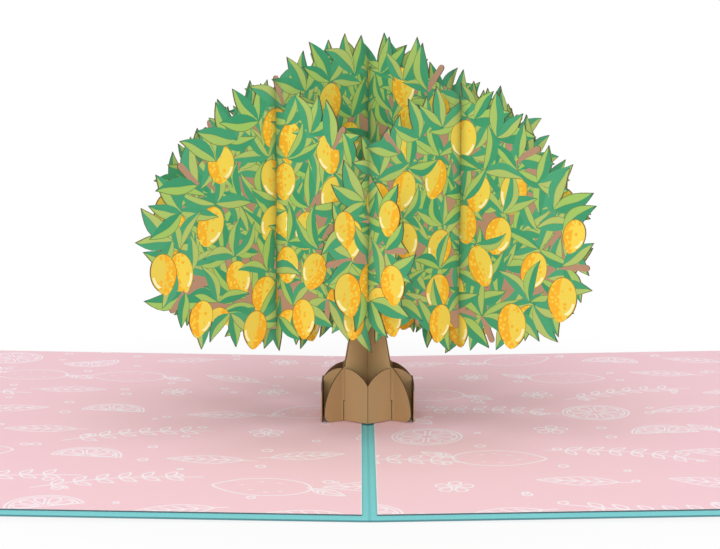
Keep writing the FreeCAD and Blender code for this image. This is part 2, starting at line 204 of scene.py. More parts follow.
# %% World
WHITE = (1, 1, 1, 1)
LIT_BY_WORLD = 0.6
world = bpy.data.worlds.new("studio")
bpy.context.scene.world = world
world.use_nodes = True
sky = Nodes(world.node_tree)
soft = sky.node("Background", None, {"Color": WHITE, "Strength": LIT_BY_WORLD})
white = sky.node("Background", None, {"Color": WHITE, "Strength": 1.0})
backdrop = sky.node("MixShader", None, {
    0: sky.seen_directly(), 1: soft.outputs[0], 2: white.outputs[0]})
sky.surface(backdrop.outputs[0], "World Output")


# %% Lamps
def lamp(name, place, aim, size, power):
    data = bpy.data.lights.new(name, "AREA")
    data.shape = "DISK"
    data.size = size
    data.energy = power
    lamp_object = bpy.data.objects.new(name, data)
    lamp_object.location = place
    lamp_object.rotation_euler = (Vector(aim) - Vector(place)).to_track_quat("-Z", "Y").to_euler()
    bpy.context.scene.collection.objects.link(lamp_object)


lamp("lamp_above", (0.0, -0.2, 0.9), (0, 0, 0.03), 1.2, 2.75)
lamp("lamp_front", (-0.1, -1.0, 0.32), (0, 0, 0.04), 0.7, 4.6)

# %% Floor
floor_mesh = bmesh.new()
bmesh.ops.create_grid(floor_mesh, x_segments=1, y_segments=1, size=3)
floor_data = bpy.data.meshes.new("floor")
floor_mesh.to_mesh(floor_data)
floor_mesh.free()
floor = bpy.data.objects.new("floor", floor_data)
bpy.context.scene.collection.objects.link(floor)
floor_finish = Finish("floor_white", 0.9, 0.0)
floor_finish.shader.inputs["Base Color"].default_value = (0.8, 0.8, 0.8, 1)
from_card = floor_finish.node("VectorMath", {"operation": "LENGTH"}, {0: floor_finish.coordinates()})
far_white = (Number(floor_finish, from_card.outputs["Value"]) * 2).math("MINIMUM", 0.3) + 0.7
glow = floor_finish.node("Emission", None, {"Color": WHITE, "Strength": 1.0})
floor_surface = floor_finish.node("MixShader", None, {
    0: floor_finish.seen_directly() * far_white,
    1: floor_finish.shader.outputs[0],
    2: glow.outputs[0]})
floor_finish.surface(floor_surface.outputs[0], "Material Output")
floor_data.materials.append(floor_finish.material)


# %% [markdown]
# ## Card and paper
# Cover, planter and liners are uncoated stock: matt, with a very fine fibre and slightly uneven
# tone. A liner's edge has a pale band, the paper's core with a painted highlight, and a grey rim
# of painted shade. One function makes such a finish.

# %% Plain card finishes
FIBRE_SCALE = 2500
FIBRE_DEPTH = 0.00002


def card_finish(name, colour, roughness=0.85, unevenness=0.06):
    """Matt stock of a colour, a little uneven, with a fine fibre."""
    finish = Finish(name, roughness)
    darker = [c * (1 - 2 * unevenness) for c in colour[:3]] + [1]
    finish.paint(finish.mix(finish.noise(60, 3), darker, colour))
    finish.bump(finish.noise(FIBRE_SCALE), FIBRE_DEPTH, 0.5)
    return finish


liner_paper = card_finish("pink_paper", shade(252, 211, 220), 0.9, 0.01)
liner_ink = card_finish("white_ink", shade(255, 244, 250), 0.8, 0.0)
# A pale band along a liner's edge: the paper's pale core, and a painted highlight on the cut edge.
liner_pale_band = card_finish("pale_edge_band", shade(246, 232, 236), 0.9, 0.0)
# Painted shade: the liners' rims are grey, their cut edges in shadow.
liner_rim_shade = card_finish("grey_rim_shade", shade(92, 98, 104), 0.9, 0.02)
branch_brown = card_finish("branch_brown", shade(184, 144, 116), 0.85, 0.05)
# Dark brown for the cut edges of the tree's sheets and the planter's upward edges.
dark_cut_edge = card_finish("dark_cut_edge", shade(104, 80, 56), 0.9, 0.05)

# %% [markdown]
# The trunk is painted a little darker where the two sheets cross, as painted shade in the crease
# between them, and the roots are darker again.

# %% Trunk finish
trunk_card = Finish("bark_brown", 0.85)
trunk_x = trunk_card.node("SeparateXYZ", None, {0: trunk_card.coordinates()}).outputs[0]
# Painted shade: the bark darkens towards the crease where the two sheets cross.
from_crossing = abs(Number(trunk_card, trunk_x)) / (5.5 * MM)
bark = trunk_card.mix(from_crossing.math("MINIMUM", 1), shade(168, 136, 92), shade(212, 180, 130))
root = ((from_crossing - 1) * 4).math("MAXIMUM", 0).math("MINIMUM", 1)
bark = trunk_card.mix(root, bark, shade(176, 142, 98))
trunk_card.paint(trunk_card.mix(trunk_card.noise(60, 3) * 0.15, bark, shade(150, 118, 78)))
trunk_card.bump(trunk_card.noise(FIBRE_SCALE), FIBRE_DEPTH, 0.5)

# %% [markdown]
# The cover is one folded sheet. Its cut edges are painted darker, as painted shade, and the score
# line of the fold is a fine groove down the middle of the bare band, darkened by painted shade.

# %% Cover finish
teal_card = Finish("teal_card", 0.85)
teal_face = teal_card.mix(teal_card.noise(60, 3), shade(124, 207, 212), shade(132, 216, 220))
teal_place = teal_card.node("SeparateXYZ", None, {0: teal_card.coordinates()}).outputs
from_fold = abs(Number(teal_card, teal_place[0]))
upright = teal_card.node("SeparateXYZ", None, {
    0: teal_card.node("NewGeometry").outputs["True Normal"]}).outputs[2]
# Painted shade: the upright cut edges get a darker teal.
edge_shade_mask = abs(Number(teal_card, upright)) < 0.5
groove = 1 - (from_fold / 0.0004).math("MINIMUM", 1)
# Painted shade: the groove of the score line is also painted darker.
teal_face = teal_card.mix(groove * 0.25, teal_face, shade(70, 150, 158))
teal_card.paint(teal_card.mix(edge_shade_mask, teal_face, shade(84, 136, 142)))
teal_card.bump(teal_card.noise(FIBRE_SCALE) * 0.1 - groove, 0.00015)

# %% [markdown]
# The planter's strips are tan outside and painted much darker inside, as painted shade where little
# light gets in, and their upward cut edges are dark brown. The finish finds the inside by asking
# whether a point lies within the diamond of the strips' middle line.

# %% Planter finish
PLANTER_REACH = 12.4
PLANTER_DEPTH = 9.176
TREE_OFFSET = 4.0
TAB_NEAR, TAB_FAR = 0.92, 0.9458
planter_card = Finish("tan_card", 0.85)
planter_place = planter_card.node("SeparateXYZ", None, {0: planter_card.coordinates()}).outputs
planter_x = abs(Number(planter_card, planter_place[0])) / (PLANTER_REACH * MM)
planter_y = abs(Number(planter_card, planter_place[1]) - TREE_OFFSET * MM) / (PLANTER_DEPTH * MM)
planter_normal = planter_card.node("SeparateXYZ", None, {
    0: planter_card.node("NewGeometry").outputs["True Normal"]}).outputs
facing_up = Number(planter_card, planter_normal[2]) > 0.3
inside = (planter_x + planter_y) < 1
# Painted shade: the tabs' inner faces are dark brown.
tab_inside_shade = (planter_x < TAB_FAR) * (planter_x > TAB_NEAR)
tan = planter_card.mix(planter_card.noise(60, 3), shade(178, 146, 102), shade(188, 156, 110))
# Dark lines down the front fold and down the crossings with the roots; at the root crossings they are
# painted shade in the corners.
fold_mark_and_crossing_shade = (planter_x < 0.009).math("MAXIMUM", abs(planter_x - 0.5) < 0.012)
tan = planter_card.mix(fold_mark_and_crossing_shade * 0.7, tan, shade(96, 72, 46))
# Painted shade inside the diamond, darkest near the trunk and lighter outward.
painted_inside_shade = planter_card.mix((planter_x * 0.9).math("MINIMUM", 1), shade(96, 66, 42), shade(150, 118, 82))
planter_colour = planter_card.mix(inside, tan, painted_inside_shade)
planter_colour = planter_card.mix(tab_inside_shade, planter_colour, shade(88, 62, 42))
planter_card.paint(planter_card.mix(facing_up, planter_colour, shade(104, 80, 56)))
planter_card.bump(planter_card.noise(FIBRE_SCALE), FIBRE_DEPTH, 0.5)


# %% Dress the nodes that keep their own mesh
def dress(node, finish):
    """Gives a node of the model its finish."""
    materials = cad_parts[node].data.materials
    materials.clear()
    materials.append(finish.material)
    print(node, "is dressed in", finish.material.name)


dress("cover", teal_card)
dress("planter_front", planter_card)
dress("planter_back", planter_card)

# %% [markdown]
# ## Drawing on flat sheets
# A printed sheet is a drawing that has been cut out. We make it the same way: every leaf, lemon
# or line is an outline in the plane of the sheet, in millimetres, and later outlines lie over
# earlier ones. Blender's constrained triangulation cuts all the outlines where they cross, and
# each small face then belongs to the topmost outline that covers it. So print and paper are one
# flat mesh, with no layer floating over another.


# %% Shapes and the flat mesh
PAPER = "paper"
PRINT = "print"
CUT = "cut"


class Shape:
    """An outline with its finish, and the frame of its own in which its print is drawn.

    The sheet reaches as far as its PAPER shapes do, less its CUT shapes. PRINT only colours it."""

    def __init__(self, outline, finish, role=PRINT, origin=(0, 0), direction=0.0, length=1.0,
                 width=1.0, tone=0.5, bend=0.0):
        turns = sum(a[0] * b[1] - a[1] * b[0] for a, b in zip(outline, outline[1:] + outline[:1]))
        self.outline = outline if turns > 0 else outline[::-1]
        self.finish = finish
        self.role = role
        self.origin = origin
        self.direction = direction
        self.length = length
        self.width = width
        self.tone = tone
        self.bend = bend

    def own(self, u, z):
        du, dz = u - self.origin[0], z - self.origin[1]
        cos, sin = math.cos(self.direction), math.sin(self.direction)
        return (du * cos + dz * sin) / self.length, (dz * cos - du * sin) / self.width


# %% [markdown]
# The flat mesh is cut from all the outlines at once. Scraps that the slots cut off fall away, as
# they do at the cutter.

# %% The flat mesh
def flat_mesh(shapes, finishes, join=True):
    """A flat bmesh of the shapes, in the XZ plane and in metres, with the later ones on top.

    Scraps that the cuts leave loose are dropped. join makes one face of each shape's visible part."""
    points, loops = [], []
    for shape in shapes:
        loops.append(list(range(len(points), len(points) + len(shape.outline))))
        points += [Vector(point) for point in shape.outline]
    corners, _, faces, _, _, sources = delaunay_2d_cdt(points, [], loops, 1, 1e-4, True)

    sheet = bmesh.new()
    uv = sheet.loops.layers.uv.new("print")
    motif = sheet.loops.layers.float_color.new("motif")
    index = sheet.faces.layers.int.new("shape")
    vertices = [sheet.verts.new((corner.x * MM, 0, corner.y * MM)) for corner in corners]
    for face, source in zip(faces, sources):
        roles = {shapes[i].role for i in source}
        if CUT in roles or PAPER not in roles:
            continue
        top = max(source)
        made = sheet.faces.new([vertices[i] for i in face])
        made[index] = top
        made.material_index = finishes.index(shapes[top].finish)
    bmesh.ops.delete(sheet, geom=[v for v in sheet.verts if not v.link_faces], context="VERTS")

    # keep the largest connected piece
    unseen, pieces = set(sheet.faces), []
    while unseen:
        stack, piece = [unseen.pop()], []
        while stack:
            face = stack.pop()
            piece.append(face)
            for edge in face.edges:
                for other in edge.link_faces:
                    if other in unseen:
                        unseen.remove(other)
                        stack.append(other)
        pieces.append(piece)
    largest = max(pieces, key=lambda piece: sum(face.calc_area() for face in piece))
    kept = set(largest)
    bmesh.ops.delete(sheet, geom=[f for f in sheet.faces if f not in kept], context="FACES")

    if join:
        inner = [e for e in sheet.edges if len(e.link_faces) == 2
                 and e.link_faces[0][index] == e.link_faces[1][index]]
        bmesh.ops.dissolve_edges(sheet, edges=inner, use_verts=False)
    for face in sheet.faces:
        shape = shapes[face[index]]
        for loop in face.loops:
            loop[uv].uv = shape.own(loop.vert.co.x / MM, loop.vert.co.z / MM)
            loop[motif] = (shape.tone, 0.5 + shape.bend, 0, 1)
    sheet.normal_update()
    return sheet


# %% [markdown]
# A flat mesh has no thickness, so each piece gets its sheet's own, with a dark brown rim on a tree
# sheet and a grey rim of painted shade on a liner, and takes the place of the model's plain solid.

# %% Add a piece to the card
def add_piece(name, mesh, finishes, node, thickness, offset):
    """An object for a flat mesh that is already in its place, thickened to a sheet."""
    data = bpy.data.meshes.new(name)
    mesh.to_mesh(data)
    mesh.free()
    for finish in finishes:
        data.materials.append(finish.material)
    piece = bpy.data.objects.new(name, data)
    bpy.context.scene.collection.objects.link(piece)
    solid = piece.modifiers.new("thickness", "SOLIDIFY")
    solid.thickness = thickness * MM
    solid.offset = offset
    solid.material_offset_rim = len(finishes)
    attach(piece, "root")
    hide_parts(node)
    print(name, len(data.polygons), "faces")
    return piece


# %% [markdown]
# ## Leaves, lemons and twigs
# Leaves are two-toned along a dark midrib, and lemons have a stippled orange side and a pale
# glint. Both patterns are drawn by the material, from the shape's own numbers in the UV map, so
# each outline needs only a few corners however fine its print is.

# %% Shade in the crossings
CROSSING_SPACE = 22.59
CROSSING_SHADE = 2.4


def shade_crossings(finish, colour):
    """Darkens a printed colour softly beside the lines where two sheets cross."""
    place = finish.node("SeparateXYZ", None, {0: finish.coordinates()}).outputs[0]
    crossings = Number(finish, place) / (CROSSING_SPACE * MM)
    beside = abs(crossings - crossings.math("ROUND")) * (CROSSING_SPACE / CROSSING_SHADE)
    near = 1 - beside.math("MINIMUM", 1)
    return finish.mix(near * near * (abs(crossings) < 1.5) * 0.5, colour, shade(58, 70, 30))


# %% Leaf finish
motif_leaf = Finish("leaf_print", 0.75)
leaf_uv = motif_leaf.node("SeparateXYZ", None, {
    0: motif_leaf.node("UVMap", {"uv_map": "print"}).outputs[0]}).outputs
leaf_motif = motif_leaf.node("SeparateColor", None, {
    0: motif_leaf.node("Attribute", {"attribute_name": "motif"}).outputs["Color"]}).outputs
along = Number(motif_leaf, leaf_uv[0])
across = Number(motif_leaf, leaf_uv[1])
tone = Number(motif_leaf, leaf_motif[0])
bend = Number(motif_leaf, leaf_motif[1]) - 0.5
side = across - bend * 4 * along * (1 - along)
half = (along.math("MAXIMUM", 0.001).math("POWER", 0.85) * math.pi).math("SINE") * 0.5
flip = (tone > 0.5) * 2 - 1
toned_side = side * flip
light = motif_leaf.mix(tone, shade(160, 198, 100), shade(180, 196, 110))
dark = motif_leaf.mix(tone, shade(60, 152, 106), shade(78, 166, 120))
wave = (along * 9 + tone * 20).math("SINE") * 0.035
leaf_colour = motif_leaf.mix(toned_side > wave, light, dark)
rib = (abs(toned_side - wave) < 0.028) * (along < 0.8) * (along > 0.12)
rim = (half - abs(side)) < 0.05
outline_mask = (rim * (toned_side < 0.1)).math("MAXIMUM", rib * 0.3)
leaf_colour = motif_leaf.mix(outline_mask * 0.6, leaf_colour, shade(60, 62, 44))
motif_leaf.paint(shade_crossings(motif_leaf, leaf_colour))
motif_leaf.bump(motif_leaf.noise(FIBRE_SCALE), FIBRE_DEPTH, 0.4)

# %% Lemon finish
motif_lemon = Finish("lemon_print", 0.7)
lemon_uv = motif_lemon.node("SeparateXYZ", None, {
    0: motif_lemon.node("UVMap", {"uv_map": "print"}).outputs[0]}).outputs
lemon_tone = Number(motif_lemon, motif_lemon.node("SeparateColor", None, {
    0: motif_lemon.node("Attribute", {"attribute_name": "motif"}).outputs["Color"]}).outputs[0])
down = Number(motif_lemon, lemon_uv[0])
aside = Number(motif_lemon, lemon_uv[1]) * ((lemon_tone > 0.5) * 2 - 1)
radius = (down * down * 4 + aside * aside * 4).math("SQRT")
cells = motif_lemon.node("TexVoronoi", None, {"Vector": motif_lemon.coordinates(), "Scale": 1050.0})
to_dot = Number(motif_lemon, cells.outputs["Distance"])
cell_colour = motif_lemon.node("SeparateColor", None, {0: cells.outputs["Color"]})
chance = Number(motif_lemon, cell_colour.outputs[0])
lit_side = aside - 0.10 + down * 0.2 + down * down * 0.5
dot = to_dot < 0.42
orange = (lit_side + (chance - 0.5) * dot * 0.9) > 0
pore = dot * (chance > 0.4) * (lit_side < 0.34) * (lit_side > -0.06)
body_yellow = motif_lemon.mix(lemon_tone, shade(246, 216, 80), shade(232, 206, 82))
body_orange = motif_lemon.mix(pore, shade(246, 180, 42), shade(252, 208, 68))
lemon_colour = motif_lemon.mix(orange, body_yellow, body_orange)
glint = (radius > 0.74) * (radius < 0.90) * (aside < -0.16) * (down > 0.06) * (down < 0.36)
lemon_colour = motif_lemon.mix(glint * 0.85, lemon_colour, shade(255, 250, 200))
lemon_rim = (radius > 0.955) * (down < 0.42)
lemon_colour = motif_lemon.mix(lemon_rim * 0.75, lemon_colour, shade(120, 84, 40))
motif_lemon.paint(shade_crossings(motif_lemon, lemon_colour))
motif_lemon.bump(motif_lemon.noise(FIBRE_SCALE), FIBRE_DEPTH, 0.4)


# %% Outlines of the motifs
def leaf_outline(u, z, direction, length, width, bend, steps):
    cos, sin = math.cos(direction), math.sin(direction)
    left, right = [], []
    for i in range(steps + 1):
        s = i / steps
        half_width = width / 2 * math.sin(math.pi * s ** 0.85) if 0 < i < steps else 0
        bow = width * bend * 4 * s * (1 - s)
        middle_u, middle_z = u + cos * length * s - sin * bow, z + sin * length * s + cos * bow
        left.append((middle_u - sin * half_width, middle_z + cos * half_width))
        right.append((middle_u + sin * half_width, middle_z - cos * half_width))
    return left + right[-2:0:-1]


def lemon_outline(u, z, direction, height, width, tip, steps):
    cos, sin = math.cos(direction), math.sin(direction)
    outline = []
    for i in range(steps):
        turn = 2 * math.pi * i / steps
        from_tip = min(turn, 2 * math.pi - turn)
        out = height / 2 * math.cos(turn) + tip * math.exp(-(from_tip / 0.4) ** 2)
        aside = width / 2 * math.sin(turn)
        outline.append((u + cos * out - sin * aside, z + sin * out + cos * aside))
    return outline


def twig_outline(u, z, direction, length, width, steps=4):
    cos, sin = math.cos(direction), math.sin(direction)
    outline = [(u + sin * width / 2, z - cos * width / 2)]
    for i in range(steps + 1):
        turn = math.pi * (i / steps - 0.5)
        out = length - width / 2 + width / 2 * math.cos(turn)
        aside = width / 2 * math.sin(turn)
        outline.append((u + cos * out - sin * aside, z + sin * out + cos * aside))
    outline.append((u - sin * width / 2, z + cos * width / 2))
    return outline


# %% [markdown]
# ## The sheets of the tree
# Each sheet has the same outline as its solid in the model: a rounded field of foliage whose edge
# sprouts leaves, lemons and twigs, and a trunk with root flares on the two tall sheets. The
# numbers and the seeds are the model's own, so the growth along the edge comes out the same.

# %% Measures of the tree, in millimetres
ANGLE = math.radians(36.5)
PITCH = 28.1
PAPER_THICKNESS = 0.35
CLEARANCE = 0.05
FAR = 300
FIELDS = {
    "tree": {"reach": 60.5, "top": 92.8, "waist": 50.0, "underside": 26.0, "arch": 7.0,
             "upper": 1.6, "lower": 3.0},
    "side": {"reach": 36.0, "top": 80.5, "waist": 48.0, "underside": 27.0, "arch": 5.0,
             "upper": 1.85, "lower": 2.6},
}
LEAF = {"length": 10.2, "width": 3.9, "swing": 0.18, "spread": 0.16, "bend": 0.35}
SPRIG = {"pitch": 8.0, "inset": 3.0, "fan": (-0.75, 0.0, 0.75), "swing": 0.3}
LEMON = {"height": 9.2, "width": 7.0, "tip": 0.8}
TWIG = {"length": 6.8, "width": 1.6}
SLOT_WIDTH = PAPER_THICKNESS * (1 + math.cos(2 * ANGLE)) / math.sin(2 * ANGLE) + 2 * CLEARANCE
print("slot width:", round(SLOT_WIDTH, 3), "mm")


# %% [markdown]
# The field of foliage is a rounded form, wider than high, with an arched underside. Growth is set
# at even steps along its edge.

# %% Edge of the field
def underside_arch(kind, u):
    """Rise of the underside: one arch on a tree sheet, two beside each other on a side sheet."""
    turn = math.pi * min(abs(u) / PITCH, 1)
    wave = math.cos(turn / 2) if kind == "tree" else math.sin(turn)
    return FIELDS[kind]["arch"] * wave ** 2


def field_edge(kind, steps=96):
    """Points round the field of foliage, clockwise from the top."""
    field = FIELDS[kind]
    points = []
    for i in range(steps):
        turn = 2 * math.pi * i / steps
        across, up = math.sin(turn), math.cos(turn)
        if up >= 0:
            power, height = field["upper"], field["top"] - field["waist"]
        else:
            power, height = field["lower"], field["waist"] - field["underside"]
        u = field["reach"] * math.copysign(abs(across) ** (2 / power), across)
        z = field["waist"] + height * math.copysign(abs(up) ** (2 / power), up)
        points.append((u, z if up >= 0 else z + underside_arch(kind, u)))
    return points


def field_height(field, u):
    """Lowest and highest point of the field at a distance u from its middle."""
    share = min(abs(u) / field["reach"], 1)
    up = (1 - share ** field["upper"]) ** (1 / field["upper"])
    down = (1 - share ** field["lower"]) ** (1 / field["lower"])
    return (field["waist"] - (field["waist"] - field["underside"]) * down,
            field["waist"] + (field["top"] - field["waist"]) * up)


def walk(points, pitch):
    """Evenly spaced places along a clockwise outline, each with its outward direction."""
    places, wait = [], pitch / 2
    for (u0, z0), (u1, z1) in zip(points, points[1:] + points[:1]):
        length = math.hypot(u1 - u0, z1 - z0)
        while wait < length:
            share = wait / length
            places.append((u0 + share * (u1 - u0), z0 + share * (z1 - z0),
                           math.atan2(u1 - u0, z0 - z1)))
            wait += pitch
        wait -= length
    return places


print("sprigs round a tall sheet:", len(walk(field_edge("tree"), SPRIG["pitch"])))


# %% [markdown]
# Along the edge the growth has to follow the cut outline of the real sheet, so the draws are made
# in the model's order. Leaves that would run into a slot are left off, and so is all growth over
# the trunk.

# %% Growth along the edge
LEAF_STEPS = 7
EDGE_LEMON_STEPS = 28
TRUNK_CLEAR = 10


def leaf_shape(u, z, direction, length, width, tone, bend):
    return Shape(leaf_outline(u, z, direction, length, width, bend, LEAF_STEPS), motif_leaf, PRINT,
                 (u, z), direction, length, width, tone, bend)


def lemon_shape(u, z, direction, height, width, tone, tip, steps):
    return Shape(lemon_outline(u, z, direction, height, width, tip, steps), motif_lemon, PRINT,
                 (u, z), direction, height, width, tone)


def edge_growth(kind, family, seed):
    """Leaves, lemons and twigs that grow out of the field's edge, as on the solid sheet."""
    field = FIELDS[kind]
    draw = random.Random(seed)
    tones = random.Random(seed + 500)
    grown = []
    for index, (u, z, outward) in enumerate(walk(field_edge(kind), SPRIG["pitch"])):
        over_trunk = kind == "tree" and z < field["waist"] and abs(u) < TRUNK_CLEAR
        slotted_here = (z < field["waist"]) == (family > 0)
        base_u, base_z = u - SPRIG["inset"] * math.cos(outward), z - SPRIG["inset"] * math.sin(outward)
        swing = draw.uniform(-SPRIG["swing"], SPRIG["swing"])
        for fan in SPRIG["fan"]:
            direction = outward + swing + fan + draw.uniform(-LEAF["swing"], LEAF["swing"])
            stretch = 1 + draw.uniform(-LEAF["spread"], LEAF["spread"])
            bend = draw.uniform(-LEAF["bend"], LEAF["bend"])
            if over_trunk:
                continue
            if not fan and index % 2 == 1 and math.sin(outward) < 0.5:
                grown.append(lemon_shape(u, z, swing - math.pi / 2, LEMON["height"] * stretch,
                                         LEMON["width"] * stretch, tones.random(), LEMON["tip"],
                                         EDGE_LEMON_STEPS))
                continue
            is_twig = not fan and index % 4 == 2
            length = stretch * (TWIG if is_twig else LEAF)["length"]
            tip_u = base_u + length * math.cos(direction)
            reach = LEAF["width"] / 2
            if slotted_here and any(min(base_u, tip_u) - reach < line < max(base_u, tip_u) + reach
                                    for line in (-PITCH, 0, PITCH)):
                continue
            if is_twig:
                grown.append(Shape(twig_outline(base_u, base_z, direction, length, TWIG["width"]),
                                   branch_brown))
            else:
                grown.append(leaf_shape(base_u, base_z, direction, length, LEAF["width"] * stretch,
                                        tones.random(), bend))
    return grown


# %% [markdown]
# Inside the field nothing is cut, so the print is free: sprigs of three or four leaves cover the
# sheet, and single lemons hang with room round them, some with a leaf over them.

# %% Growth inside the field
INNER_LEMON_STEPS = 20
INNER_TIP = 0.4
SPRIG_STEP = 6.0
LEMON_ROOM = 9.0
LEAF_OVER_LEMON = 0.4
LEAF_GAP = 2.0


def inner_growth(kind, seed):
    """Sprigs of leaves over the field, some with a lemon hanging under them."""
    field = FIELDS[kind]
    draw = random.Random(seed + 1000)
    places = []
    for row in range(int((field["top"] - field["underside"]) / SPRIG_STEP) + 1):
        for column in range(int(2 * field["reach"] / SPRIG_STEP) + 1):
            u = -field["reach"] + (column + draw.random()) * SPRIG_STEP
            z = field["underside"] + (row + draw.random()) * SPRIG_STEP
            low, high = field_height(field, u)
            if low + underside_arch(kind, u) < z < high + 1:
                places.append((u, z))
    draw.shuffle(places)
    bearing = []
    for u, z in places:
        if all(math.hypot(u - other_u, z - other_z) > LEMON_ROOM for other_u, other_z in bearing):
            bearing.append((u, z))
    plain = [place for place in places if place not in bearing]

    shapes = []
    for u, z in plain:
        upward = math.atan2(z - field["underside"] + 30, u * 0.8) + draw.uniform(-0.7, 0.7)
        count = draw.randint(3, 4)
        for i in range(count):
            turn = 0 if i == count - 1 else draw.uniform(0.4, 0.9) * (-1) ** i
            up_stem = (i - 1.5) * LEAF_GAP
            shapes.append(inner_leaf(draw, u + up_stem * math.cos(upward),
                                     z + up_stem * math.sin(upward), upward + turn))
    for u, z in bearing:
        hang = -math.pi / 2 + draw.uniform(-0.4, 0.4)
        lemon = lemon_shape(u + 4 * math.cos(hang), z + 4 * math.sin(hang), hang,
                            LEMON["height"] * draw.uniform(0.95, 1.12),
                            LEMON["width"] * draw.uniform(0.95, 1.08), draw.random(), INNER_TIP,
                            INNER_LEMON_STEPS)
        leaves = [inner_leaf(draw, u, z + 1.5, direction) for direction in (
            hang + draw.uniform(1.4, 2.4), hang - draw.uniform(1.4, 2.4),
            hang + math.pi + draw.uniform(-0.5, 0.5))]
        covered = draw.random() < LEAF_OVER_LEMON
        shapes += leaves[covered:] + [lemon] + leaves[:covered]
    return shapes


def inner_leaf(draw, u, z, direction):
    return leaf_shape(u, z, direction, LEAF["length"] * draw.uniform(0.85, 1.2),
                      LEAF["width"] * draw.uniform(0.75, 0.95), draw.random(),
                      draw.uniform(-0.6, 0.6))


# %% [markdown]
# The trunk widens into root flares, and its two feet stand in the slits of the liners. The liners
# rise a little from the fold, so the feet start at the height that the cover has there.

# %% Height of the cover and the liners
COVER_THICKNESS = 0.4
LINER_THICKNESS = 0.3
WING_RISE = math.radians(0.98)
CREASE_HALF = 3.175 / 2
WING_START = CREASE_HALF - COVER_THICKNESS * math.tan(WING_RISE / 2)
SEAT = 0.04


def cover_top(x):
    return COVER_THICKNESS + max(abs(x) - WING_START, 0) * math.tan(WING_RISE)


def liner_top(x):
    return cover_top(x) + LINER_THICKNESS / math.cos(WING_RISE)


print("liner top beside the fold:", round(liner_top(CREASE_HALF), 3), "mm")


# %% Boxes and arcs
def box(u_low, u_high, z_low, z_high):
    return [(u_low, z_low), (u_high, z_low), (u_high, z_high), (u_low, z_high)]


def arc(start, middle, end, steps):
    """Points on the circle through three points, from start up to but not at end."""
    (ax, ay), (bx, by), (cx, cy) = start, middle, end
    d = 2 * (ax * (by - cy) + bx * (cy - ay) + cx * (ay - by))
    ox = ((ax**2 + ay**2) * (by - cy) + (bx**2 + by**2) * (cy - ay) + (cx**2 + cy**2) * (ay - by)) / d
    oy = ((ax**2 + ay**2) * (cx - bx) + (bx**2 + by**2) * (ax - cx) + (cx**2 + cy**2) * (bx - ax)) / d
    radius = math.hypot(ax - ox, ay - oy)
    first, last = math.atan2(ay - oy, ax - ox), math.atan2(cy - oy, cx - ox)
    sweep = (last - first + math.pi) % (2 * math.pi) - math.pi
    return [(ox + radius * math.cos(first + sweep * i / steps),
             oy + radius * math.sin(first + sweep * i / steps)) for i in range(steps)]


# %% Outline of the trunk
ROOT_REACH = 13.8
ROOT_CORNER = 2.0
TRUNK_TOP_HALF = 5.0
TRUNK_FOOT = (7.3, 15.0)
FLARE_BOW = 1.6
FOOT_NEAR, FOOT_FAR = 8.5, 11.7


def trunk_outline():
    reach, corner, shoulder = ROOT_REACH, ROOT_CORNER, TRUNK_FOOT
    bottom = liner_top(reach * math.cos(ANGLE)) + SEAT
    foot_bottom = cover_top(reach * math.cos(ANGLE)) + SEAT
    heel = (reach, bottom + corner)
    chord_u, chord_z = heel[0] - shoulder[0], heel[1] - shoulder[1]
    bow = FLARE_BOW / math.hypot(chord_u, chord_z)
    flank = ((shoulder[0] + heel[0]) / 2 - chord_z * bow, (shoulder[1] + heel[1]) / 2 + chord_u * bow)
    crook = corner * (1 - math.sqrt(0.5))
    right = [(TRUNK_TOP_HALF, FIELDS["tree"][level]) for level in ("waist", "underside")]
    right += arc(shoulder, flank, heel, 10)
    right += arc(heel, (reach - crook, bottom + crook), (reach - corner, bottom), 5)
    right += [(reach - corner, bottom), (FOOT_FAR, bottom), (FOOT_FAR, foot_bottom),
              (FOOT_NEAR, foot_bottom), (FOOT_NEAR, bottom)]
    return right + [(-u, z) for u, z in reversed(right)]


print("corners of the trunk:", len(trunk_outline()))


# %% [markdown]
# A whole sheet is its paper, then the print over it, then the slots. Each pair of crossing sheets
# shares the height at which one sheet's slot ends and the other's begins.

# %% The whole sheet
PLANTER_SLOT = 6


def sheet_shapes(kind, family, seed):
    """All the shapes of a sheet, from the back of the drawing to the front, and its slots."""
    field = FIELDS[kind]
    grown = edge_growth(kind, family, seed)
    shapes = [Shape(shape.outline, branch_brown, PAPER) for shape in grown]
    if kind == "tree":
        shapes.append(Shape(trunk_outline(), trunk_card, PAPER))
    shapes.append(Shape(field_edge(kind), branch_brown, PAPER))
    shapes += inner_growth(kind, seed) + sorted(grown, key=lambda shape: shape.finish is motif_lemon)
    half = SLOT_WIDTH / 2
    for crossing in (-PITCH, 0, PITCH):
        neighbour = "side" if crossing else "tree"
        at_neighbour = 0 if kind == "tree" else PITCH
        own = field_height(field, crossing)
        other = field_height(FIELDS[neighbour], at_neighbour)
        split = (sum(own) + sum(other)) / 4
        low, high = (-FAR, split + CLEARANCE) if family > 0 else (split - CLEARANCE, FAR)
        shapes.append(Shape(box(crossing - half, crossing + half, low, high), None, CUT))
    if kind == "tree":
        root = PLANTER_REACH / 2 / math.cos(ANGLE)
        for crossing in (-root, root):
            shapes.append(Shape(box(crossing - half, crossing + half, -FAR, PLANTER_SLOT + CLEARANCE),
                                None, CUT))
    return shapes


# %% [markdown]
# The two tall sheets cross over the fold. The four crown sheets cross them farther out, two in
# front and two behind, so each is turned like its own family and moved to its crossing.

